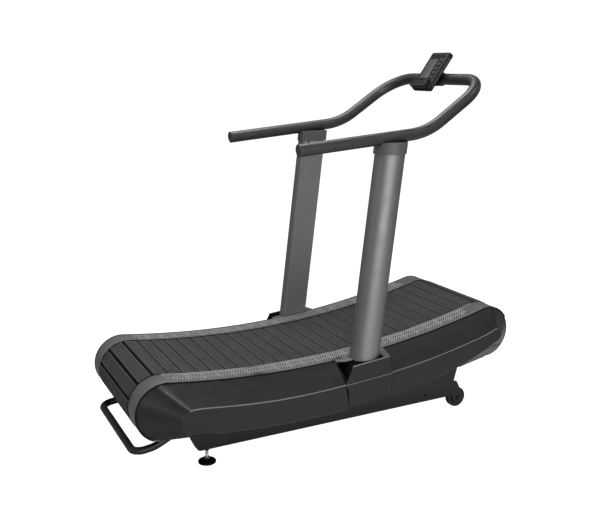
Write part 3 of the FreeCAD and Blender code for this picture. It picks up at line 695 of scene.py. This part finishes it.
def cover_shell():
    """Thin cover in front of the upright's foot: two plates, a front wall and an underside."""
    o, top = SKIRT_OUT, SKIRT_OUT - 4
    lower = slanted_plate([(-13.4, o, 150), (193.5, o, 176), (193.5, o, 272), (-31.2, o, 256),
                           (-19.4, o, 232), (-16.8, o, 205), (-14.8, o, 177)], 5)
    upper = slanted_plate([(-31.5, o, 256), (193.5, o, 272), (180, top, 348), (6, top, 331)], 5)
    wall = block_prism([(188, 172), (193.4, 172), (193.4, 272), (180, 348), (174, 347), (188, 272)],
                       [(188, 164), (193.4, 164), (193.4, 272), (180, 345), (174, 344), (188, 272)],
                       SKIRT_OUT - 5, BEAM_OUT)
    floor = ((o, 150), (BEAM_OUT, 141), (BEAM_OUT, 145), (o, 154))
    rings = [[Vector((x, y, z + rise)) * MM for y, z in floor] for x, rise in ((-13.5, 0), (193.5, 24))]
    return joined([lower, upper, wall, loft(rings)])


def cover_inside():
    """Walls seen through the wedge between the rear skirt and the cover, near black as painted shade."""
    tongue = block_prism([(-40, 158), (-6, 158), (-6, 250), (-40, 250)],
                         [(-40, 146), (-6, 146), (-6, 298), (-40, 298)], SKIRT_OUT - 24, BEAM_OUT)
    side = block_prism([(24, 322), (0, 262), (6, 262), (30, 322)],
                       [(24, 322), (0, 262), (6, 262), (30, 322)], SKIRT_OUT - 14, BEAM_OUT)
    return joined([tongue, side])


def deck_lip(plan):
    """Flange of the foot rail beside the upright: (x, y) corners, just under deck level."""
    rings = [[deck_point(x * MM, y * MM, -0.0004) - Vector((0, 0, drop)) for x, y in plan]
             for drop in (0.0, 0.007)]
    return loft(rings)


# Sections of the near-black strips of painted shade in the gaps beside skirt and belt: (height, y) in
# millimetres.
OUTER_GAP_SHADE = ((0.4, 319.3), (0.4, 321.0), (-7.0, 321.0), (-7.0, 319.3))
INNER_GAP_SHADE = ((1.6, 223.4), (1.6, 224.5), (-28.0, 224.5), (-28.0, 223.4))


def gap_shade_strip(stations, section):
    """Near-black strip of painted gap shade along a foot rail or end ring; section is (height, y) in
    millimetres.
    """
    rings = []
    for x, z, nx, nz in stations:
        rings.append([Vector((x + nx * up, y, z + nz * up)) * MM for up, y in section])
    return loft(rings)


def deck_stations(start, stop, count):
    """Points along the deck's surface with its outward normal, millimetres."""
    out = []
    for x in np.linspace(start, stop, count):
        p = deck_point(x * MM, 0)
        n = (ARC - p).normalized()
        out.append((x, p.z / MM, n.x, n.z))
    return out


def ring_stations(x, first, last):
    """Points round an end ring with its outward normal; angles in degrees from the front."""
    z = roll_height(x)
    out = []
    for angle in np.linspace(math.radians(first), math.radians(last), 40):
        c, s = math.cos(angle), math.sin(angle)
        out.append((x + RING_R * c, z + RING_R * s, c, s))
    return out


def upright_foot(side):
    """The upright with its foot; below the cover's top edge it is painted near black as painted shade."""
    node = "upright_" + side
    bm = bmesh.new()
    bm.from_mesh(frame["nodes"][node].data)
    at, normal = Vector((0.093, 0, 0.3415)), Vector((-0.097, 0, 1)).normalized()    # the cover's edge
    bmesh.ops.bisect_plane(bm, geom=bm.verts[:] + bm.edges[:] + bm.faces[:], plane_co=at, plane_no=normal)
    for face in bm.faces:
        # Faces below the cover's top edge take the near-black material: painted shade.
        face.material_index = int((face.calc_center_median() - at).dot(normal) < 0)
    mesh = bpy.data.meshes.new(node + "_painted")
    bm.to_mesh(mesh)
    bm.free()
    for name in ("silver_paint", "skirt_inner"):
        mesh.materials.append(MATS[name])
    mesh.shade_smooth()
    mesh.set_sharp_from_angle(angle=math.radians(30))
    piece = bpy.data.objects.new(node + "_painted", mesh)
    bpy.context.scene.collection.objects.link(piece)
    attach(piece, "frame", NODE_SLOT[node], node)


def skirt_beads():
    """Beads along the creases of skirts and cover, and along the skirts' low edges, in lighter tones as
    painted highlight lines.
    """
    creases = [crease_bead(spline(REAR_CREASE, CREASE_STEPS)[:REAR_BEAD], SKIRT_OUT, 1.9),
               crease_bead(spline(FRONT_CREASE, CREASE_STEPS)[:FRONT_BEAD], SKIRT_OUT, 1.6, 0.8),
               crease_bead([(-31, 256.5), (40, 261.5), (120, 267), (194, 272.5)], SKIRT_OUT, 1.6),
               crease_bead([(4, 331.5), (60, 337), (120, 342.7), (181, 348.5)], SKIRT_OUT - 4, 2.4)]
    lows = [crease_bead(spline(line, CREASE_STEPS)[:LOW_BEAD], SKIRT_OUT - 0.4, 1.3)
            for line in (REAR_LOW, FRONT_LOW)]
    return joined(creases), joined(lows)


def deck_gap_shade():
    """Near-black strips along rail and rings, beside the skirts and beside the belt: painted shade in the
    gaps.
    """
    rear, front = ring_stations(ROLL_REAR, 82, 245), ring_stations(ROLL_FRONT, 104, 30)
    return joined([gap_shade_strip(deck_stations(-751, -20, 60), OUTER_GAP_SHADE), gap_shade_strip(rear, OUTER_GAP_SHADE),
                   gap_shade_strip(deck_stations(196, 745, 60), OUTER_GAP_SHADE), gap_shade_strip(front, OUTER_GAP_SHADE),
                   gap_shade_strip(deck_stations(-751, 745, 120), INNER_GAP_SHADE), gap_shade_strip(rear, INNER_GAP_SHADE),
                   gap_shade_strip(front, INNER_GAP_SHADE)])


def build_covers():
    """Uprights, skirts, covers and deck lips, with their beads of painted highlight and strips of painted gap
    shade, on both sides.
    """
    creases, lows = skirt_beads()
    gap_shade_parts = deck_gap_shade()
    lips = joined([deck_lip([(-36, 317), (-24, 325), (-10, 338), (8, 346), (37, 348), (37, 309), (6, 309)]),
                   deck_lip([(161, 309), (161, 398), (186, 398), (199, 352), (206, 318), (192, 309)])])
    for side, turn in TURNS:
        upright_foot(side)
        for end, parts in (("rear", rear_skirt()), ("front", front_skirt())):
            node = "skirt_%s_%s" % (end, side)
            panel_piece(node + "_panel", turn(parts), node)
        # Crease beads in the lighter crease tone: painted highlight lines.
        attach(mesh_object("skirt_creases_" + side, *turn(creases), "skirt_edge", sharp=60),
               "frame", "skirt_plastic")
        # Low-edge beads in their lighter tone: painted highlight lines.
        attach(mesh_object("skirt_low_edges_" + side, *turn(lows), "skirt_rim", sharp=60),
               "frame", "skirt_plastic")
        # Strips of painted shade in the gaps beside skirts and belt.
        attach(mesh_object("deck_seam_" + side, *turn(gap_shade_parts), "skirt_inner", sharp=60),
               "frame", "skirt_plastic")
        shell = mesh_object("upright_cover_%s_shell" % side, *turn(cover_shell()), "skirt_plastic")
        shell.data.shade_smooth()
        round_edges(shell, 0.0012, 3, 28)
        attach(shell, "frame", "skirt_plastic", "upright_cover_" + side)
        attach(mesh_object("cover_inside_" + side, *turn(cover_inside()), "skirt_inner", smooth=False),
               "frame", "skirt_plastic")
        flange = mesh_object("deck_lip_" + side, *turn(lips), "deck_plastic")
        flange.data.shade_smooth()
        # The lip's rounded edges take the lighter deck_edge tone: painted highlight.
        round_edges(flange, 0.0016, 3, 35, "deck_edge")
        attach(flange, "frame", "deck_plastic")


build_covers()


# ------------------------------------------------------------- carried nodes

# The foot rails' rounded edges take the lighter deck_edge tone: painted highlight.
for node, width, edge in (("side_beam", 0.0012, None), ("deck_rail", 0.0016, "deck_edge"),
                          ("end_ring_rear", 0.0012, None), ("end_ring_front", 0.0012, None),
                          ("collar", 0.0012, None)):
    for side in ("_left", "_right"):
        softened(node + side, width, edge=edge)


# ------------------------------------------------------------- small details

def revolved(profile, at, axis, count=48, phase=0.0):
    """Closed skin from (radius, distance along the axis) points turned about a line."""
    axis = Vector(axis).normalized()
    side = axis.orthogonal().normalized()
    other = axis.cross(side)
    verts, faces = [], []
    for k in range(count):
        angle = 2 * math.pi * k / count + phase
        arm = side * math.cos(angle) + other * math.sin(angle)
        verts += [Vector(at) + arm * (r * MM) + axis * (h * MM) for r, h in profile]
    size = len(profile)
    for k in range(count):
        j = (k + 1) % count
        for m in range(size):
            o = (m + 1) % size
            faces.append([k * size + m, j * size + m, j * size + o, k * size + o])
    return verts, faces


def slab_between(low, high, place=None, trim=0.0):
    """Box between two corners in millimetres, its upright edges optionally trimmed."""
    (x0, y0, z0), (x1, y1, z1) = low, high
    t = trim
    ring = [(y0, z0), (y1, z0), (y1, z1), (y0, z1)]
    if t:
        ring = [(y0 + t, z0), (y1 - t, z0), (y1, z0 + t), (y1, z1 - t), (y1 - t, z1), (y0 + t, z1),
                (y0, z1 - t), (y0, z0 + t)]
    rings = [[Vector((x, y, z)) * MM for y, z in ring] for x in (x1, x0)]
    if place:
        rings = [[place @ v for v in line] for line in rings]
    return loft(rings)


def rounded_piece(name, parts, mat, body, bevel, *replaced, segments=3, slot=None):
    """A piece with rounded edges, attached to a body in place of the replaced nodes."""
    piece = mesh_object(name, *parts, mat)
    piece.data.shade_smooth()
    round_edges(piece, bevel, segments)
    return attach(piece, body, slot or mat, *replaced)


def console_place():
    """From the console's own axes (X into the housing, Y across, Z up its face) to the frame's."""
    c, t = math.cos(CONSOLE_TILT), math.sin(CONSOLE_TILT)
    turn = Matrix(((c, 0, t), (0, 1, 0), (-t, 0, c))).to_4x4()
    return Matrix.Translation(CONSOLE_LOW) @ turn


def frame_strip(low, high, w, place):
    """Four bars of width w round a rectangle, standing proud of the console face."""
    (x0, y0, z0), (x1, y1, z1) = low, high
    bars = [((x0, y0, z0), (x1, y1, z0 + w)), ((x0, y0, z1 - w), (x1, y1, z1)),
            ((x0, y0, z0 + w), (x1, y0 + w, z1 - w)), ((x0, y1 - w, z0 + w), (x1, y1, z1 - w))]
    return joined([slab_between(a, b, place) for a, b in bars])


def build_console():
    """Display housing and its trim, then the keys; millimetres on the console's own axes."""
    place = console_place()
    softened("console_housing", 0.0016, 3)
    softened("console_lens", 0.0004)
    softened("console_clamp", 0.001)
    rounded_piece("console_bezel", frame_strip((-0.9, -17, 51), (1.0, 59, 165), 4.2, place),
                  "console_gloss", "console", 0.0005, slot="console_plastic")
    rounded_piece("console_name_strip", slab_between((-0.7, -52, 170), (1.0, 58, 182), place, 2.0),
                  "console_gloss", "console", 0.0005, slot="console_plastic")
    shelf = [slab_between((-21, -8, 29), (0.5, 57, 38), place, 2.5),
             slab_between((-18, -54, 29), (0.5, -22, 42), place, 2.5)]
    rounded_piece("console_shelf_stops", joined(shelf), "console_plastic", "console", 0.0026, segments=4)
    # The shelf lip's lighter tone is a painted reflection of the floor below.
    rounded_piece("console_shelf_lip", slab_between((-22.4, -55, 3), (-6, 55, 7), place, 1.0),
                  "console_trim", "console", 0.0008, slot="console_plastic")
    bands = [slab_between((10, side * 67.0 - 0.6, 16), (21, side * 67.0 + 0.6, 174), place)
             for side in (-1, 1)]
    rounded_piece("console_side_bands", joined(bands), "console_trim", "console", 0.0005,
                  slot="console_plastic")
    screws = [revolved([(0, 0), (3.2, 0), (3.2, 1.2), (2.2, 1.7), (0, 1.7)],
                       place @ (Vector((28.7, y, z)) * MM), place.to_3x3() @ Vector((1, 0, 0)), 20)
              for y in (-52, 52) for z in (18, 172)]
    rounded_piece("console_back_screws", joined(screws), "bolt_black", "console", 0.0002)
    for k in range(1, 6):
        z = 39 + 23 * k
        base = slab_between((0.4, -51.2, z - 7.2), (5.0, -24.8, z + 7.2), place, 1.5)
        rounded_piece("key_base_%d" % k, base, "console_plastic", "key_%d" % k, 0.0004,
                      "console_key_%d" % k, slot="key_rubber")
        caps = [slab_between((-1.6, y - 5.2, z - 5.2), (1.0, y + 5.2, z + 5.2), place, 2.4)
                for y in (-44.4, -31.6)]
        rounded_piece("key_caps_%d" % k, joined(caps), "key_rubber", "key_%d" % k, 0.0008)


def threaded(r, low, high, pitch=1.75, deep=0.85):
    """Screw thread profile along a stem, from low to high."""
    profile = [(0.01, low), (r - deep, low)]
    z = low
    while z < high - pitch:
        profile += [(r, z + pitch * 0.4), (r, z + pitch * 0.55), (r - deep, z + pitch * 0.95)]
        z += pitch
    return profile + [(r - deep, high), (0.01, high)]


def hex_nut(centre, width, low, high):
    """Nut with chamfered corners, millimetres across its flats."""
    r = width / math.sqrt(3)
    profile = [(r * 0.55, low), (r * 0.93, low), (r, low + 0.7), (r, high - 0.7), (r * 0.93, high),
               (r * 0.55, high)]
    return revolved(profile, centre, (0, 0, 1), 6, math.pi / 6)


FOOT_X, FOOT_Y = -0.603, 0.308
WHEEL_X, WHEEL_Z = 0.618, 0.046


def build_feet():
    """Levelling feet: domed pads on threaded stems, each with a nut."""
    for side, sign in SIDES:
        at = (FOOT_X, sign * FOOT_Y, 0)
        body = "foot_" + side
        pad = [(0.01, 0), (33.5, 0), (35.6, 1.2), (36, 3), (36, 6), (35, 7.8), (33.2, 8.2), (33.0, 9.2),
               (29, 11.5), (22, 14.4), (15, 16.4), (12, 17), (12, 17.4), (0.01, 17.4)]
        rounded_piece("foot_pad_%s_round" % side, revolved(pad, at, (0, 0, 1), 56), "foot_rubber", body,
                      0.0003, "foot_pad_" + side)
        stem = joined([revolved(threaded(6.0, 17.2, 112), at, (0, 0, 1), 28), hex_nut(at, 18, 17.5, 25)])
        piece = mesh_object("foot_stem_%s_thread" % side, *stem, "bright_steel", sharp=25)
        attach(piece, body, "bright_steel", "foot_stem_" + side)


def build_wheels():
    """Transport wheels: grooved tyres on hubs with six spokes."""
    for side, sign in SIDES:
        at = (WHEEL_X, 0, WHEEL_Z)
        axis = (0, sign, 0)
        tyre = [(34.2, 292), (42, 292), (44.6, 293), (46, 296), (46, 300.6), (44.9, 301.2), (44.9, 302.2),
                (46, 302.8), (46, 309.2), (44.9, 309.8), (44.9, 310.8), (46, 311.4), (46, 316), (44.6, 319),
                (42, 320), (34.2, 320)]
        piece = mesh_object("wheel_tyre_%s_grooved" % side, *revolved(tyre, at, axis, 72), "tyre_rubber",
                            sharp=35)
        attach(piece, "wheel_" + side, "tyre_rubber", "wheel_tyre_" + side)
        rim = [(30.5, 292), (34, 291.2), (34, 321), (32.5, 321), (30.5, 319)]
        web = [(6.2, 303), (31, 303), (31, 309), (6.2, 309)]
        boss = [(6.2, 291), (12.2, 291), (13, 292), (13, 320), (12.2, 321), (6.2, 321)]
        parts = [revolved(p, at, axis, 60) for p in (rim, web, boss)]
        for k in range(6):
            angle = math.radians(60 * k + 12)
            c, t = math.cos(angle), math.sin(angle)
            outline = [(12, -2), (31, -1.6), (31, 1.6), (12, 2)]
            rings = [[Vector((WHEEL_X + (u * c - v * t) * MM, sign * y * MM, WHEEL_Z + (u * t + v * c) * MM))
                      for u, v in outline] for y in (293.5, 318)]
            parts.append(loft(rings))
        piece = mesh_object("wheel_hub_%s_spoked" % side, *joined(parts), "wheel_plastic", sharp=35)
        attach(piece, "wheel_" + side, "wheel_plastic", "wheel_hub_" + side)


def build_collars():
    """Bright strip on the inner face of each collar."""
    lean, height = 0.123, 1.182           # the uprights' slope, and the strip's middle
    x = (0.099 + (height - 0.340) * lean) / MM
    for side, sign in SIDES:
        y0, y1 = sorted((sign * 311.2, sign * 312.2))
        strip = slab_between((x - 47, y0, 1176), (x + 47, y1, 1188))
        rounded_piece("collar_strip_" + side, strip, "bright_steel", "frame", 0.0003, slot="collar_plastic")


def build_bar_caps():
    """Rounded caps on the handlebar's open ends, turned about the tube's own line."""
    start, knee = Vector((-0.210, 0.343, 1.219)), Vector((0.372, 0.357, 1.269))
    along = (start - knee).normalized()
    for side, sign in SIDES:
        at = (start.x, sign * start.y, start.z)
        axis = (along.x, sign * along.y, along.z)
        profile = [(0.01, -18), (18.4, -18), (18.4, 0.1), (25.2, 0.1), (25.4, 1.0), (25.2, 3.0), (23.4, 4.0),
                   (17.6, 4.0), (17.0, 3.2), (0.01, 3.2)]
        piece = mesh_object("handlebar_cap_" + side, *revolved(profile, at, axis, 56), "cap_plastic")
        attach(piece, "frame", "cap_plastic", "handlebar_caps")


build_console()
build_feet()
build_wheels()
build_collars()
build_bar_caps()


# ----------------------------------------------------------- stage and camera

CAMERA_AT = (-1.616, -3.11, 1.53)
CAMERA_DOWN, CAMERA_TURN = 13.15, -27     # degrees below level, and to the right of +Y
CAMERA_LENS = 48.66                       # millimetres on a 36 mm sensor
LAMPS = (                                 # name, place, target, size, watts
    ("top_soft", (-0.1, 0.8, 3.7), (0, 0, 0.3), (2.8, 1.8), 80),
    ("rear_soft", (-3.8, 0.6, 1.9), (-0.3, 0, 0.6), (2.2, 1.8), 8),
    ("front_bank", (-1.0, -5.0, 1.3), (0, 0, 0.75), (5.0, 1.2), 110),
    ("key_soft", (2.3, -1.7, 3.6), (0.4, 0, 0.3), (0.9, 0.7), 12),
    ("ridge_soft", (-0.42, -1.85, 3.4), (-0.72, -0.38, 0.3), (0.5, 0.5), 16),
)


def build_stage():
    """Pale floor that shows plain white to the camera; in light its colour darkens away from the object, a
    painted pool of light.
    """
    size = 30.0
    floor = mesh_object("floor", [(-size, -size, 0), (size, -size, 0), (size, size, 0), (-size, size, 0)],
                        [[0, 1, 2, 3]], "cap_plastic")
    n = Nodes("floor_paint")
    away = n.add("VectorMath", {0: n.place, 1: (0.6, -1.3, 0.0)}, operation="DISTANCE").outputs["Value"]
    drift = n.math("MULTIPLY", n.noise(0.6, 3.0), 0.3)
    # Floor colour lighter near the object and darker away from it: a painted pool of light.
    painted_light_pool = n.ramp(n.math("ADD", n.math("MULTIPLY", away, 0.25), drift),
                  [(0.35, (0.90, 0.90, 0.90)), (0.85, (0.30, 0.30, 0.30))])
    n.link(painted_light_pool, "Base Color")
    n.shader.inputs["Roughness"].default_value = 0.8
    n.shader.inputs["Specular IOR Level"].default_value = 0.1
    path = n.add("LightPath")
    n.shader.inputs["Emission Color"].default_value = (1, 1, 1, 1)
    n.link(n.math("MULTIPLY", path.outputs["Is Camera Ray"], 1.05), "Emission Strength")
    floor.data.materials[0] = n.mat


def area_light(name, at, target, size, power):
    """Soft rectangular lamp aimed at a point."""
    data = bpy.data.lights.new(name, "AREA")
    data.shape = "RECTANGLE"
    data.size, data.size_y = size
    data.energy = power
    lamp = bpy.data.objects.new(name, data)
    bpy.context.scene.collection.objects.link(lamp)
    lamp.location = at
    lamp.rotation_euler = (Vector(target) - Vector(at)).to_track_quat("-Z", "Y").to_euler()


def build_world():
    """Grey in light, falling off upwards and brighter on the -Y side; plain white to the camera."""
    world = bpy.data.worlds.new("studio")
    bpy.context.scene.world = world
    world.use_nodes = True
    nodes, link = world.node_tree.nodes, world.node_tree.links.new
    sky = nodes["Background"]
    coord = nodes.new("ShaderNodeTexCoord")
    split = nodes.new("ShaderNodeSeparateXYZ")
    link(coord.outputs["Generated"], split.inputs["Vector"])
    fall = nodes.new("ShaderNodeValToRGB")
    link(split.outputs["Z"], fall.inputs["Fac"])
    for at, level in ((0.0, 0.60), (0.12, 0.90), (0.26, 0.65), (0.45, 0.14), (0.75, 0.06), (1.0, 0.09)):
        element = fall.color_ramp.elements.new(at) if 0 < at < 1 else fall.color_ramp.elements[int(at)]
        element.position = at
        element.color = (level, level, level * 1.02, 1)
    tilt = nodes.new("ShaderNodeMapRange")
    for socket, value in (("From Min", -1.0), ("From Max", 1.0), ("To Min", 0.86), ("To Max", 0.42)):
        tilt.inputs[socket].default_value = value
    link(split.outputs["Y"], tilt.inputs["Value"])
    scale = nodes.new("ShaderNodeVectorMath")
    scale.operation = "SCALE"
    link(fall.outputs["Color"], scale.inputs[0])
    link(tilt.outputs["Result"], scale.inputs["Scale"])
    link(scale.outputs["Vector"], sky.inputs["Color"])
    white = nodes.new("ShaderNodeBackground")
    white.inputs["Color"].default_value = (1, 1, 1, 1)
    white.inputs["Strength"].default_value = 1.02
    path = nodes.new("ShaderNodeLightPath")
    mix = nodes.new("ShaderNodeMixShader")
    link(path.outputs["Is Camera Ray"], mix.inputs["Fac"])
    link(sky.outputs["Background"], mix.inputs[1])
    link(white.outputs["Background"], mix.inputs[2])
    link(mix.outputs["Shader"], nodes["World Output"].inputs["Surface"])


def build_camera():
    """Camera behind the machine and to its right."""
    data = bpy.data.cameras.new("photo_view")
    data.lens = CAMERA_LENS
    data.sensor_width = 36.0
    camera = bpy.data.objects.new("photo_view", data)
    bpy.context.scene.collection.objects.link(camera)
    camera.location = CAMERA_AT
    camera.rotation_euler = (math.radians(90 - CAMERA_DOWN), 0, math.radians(CAMERA_TURN))
    bpy.context.scene.camera = camera


build_stage()
build_world()
for lamp in LAMPS:
    area_light(*lamp)
build_camera()
bpy.context.scene.view_settings.view_transform = "Standard"
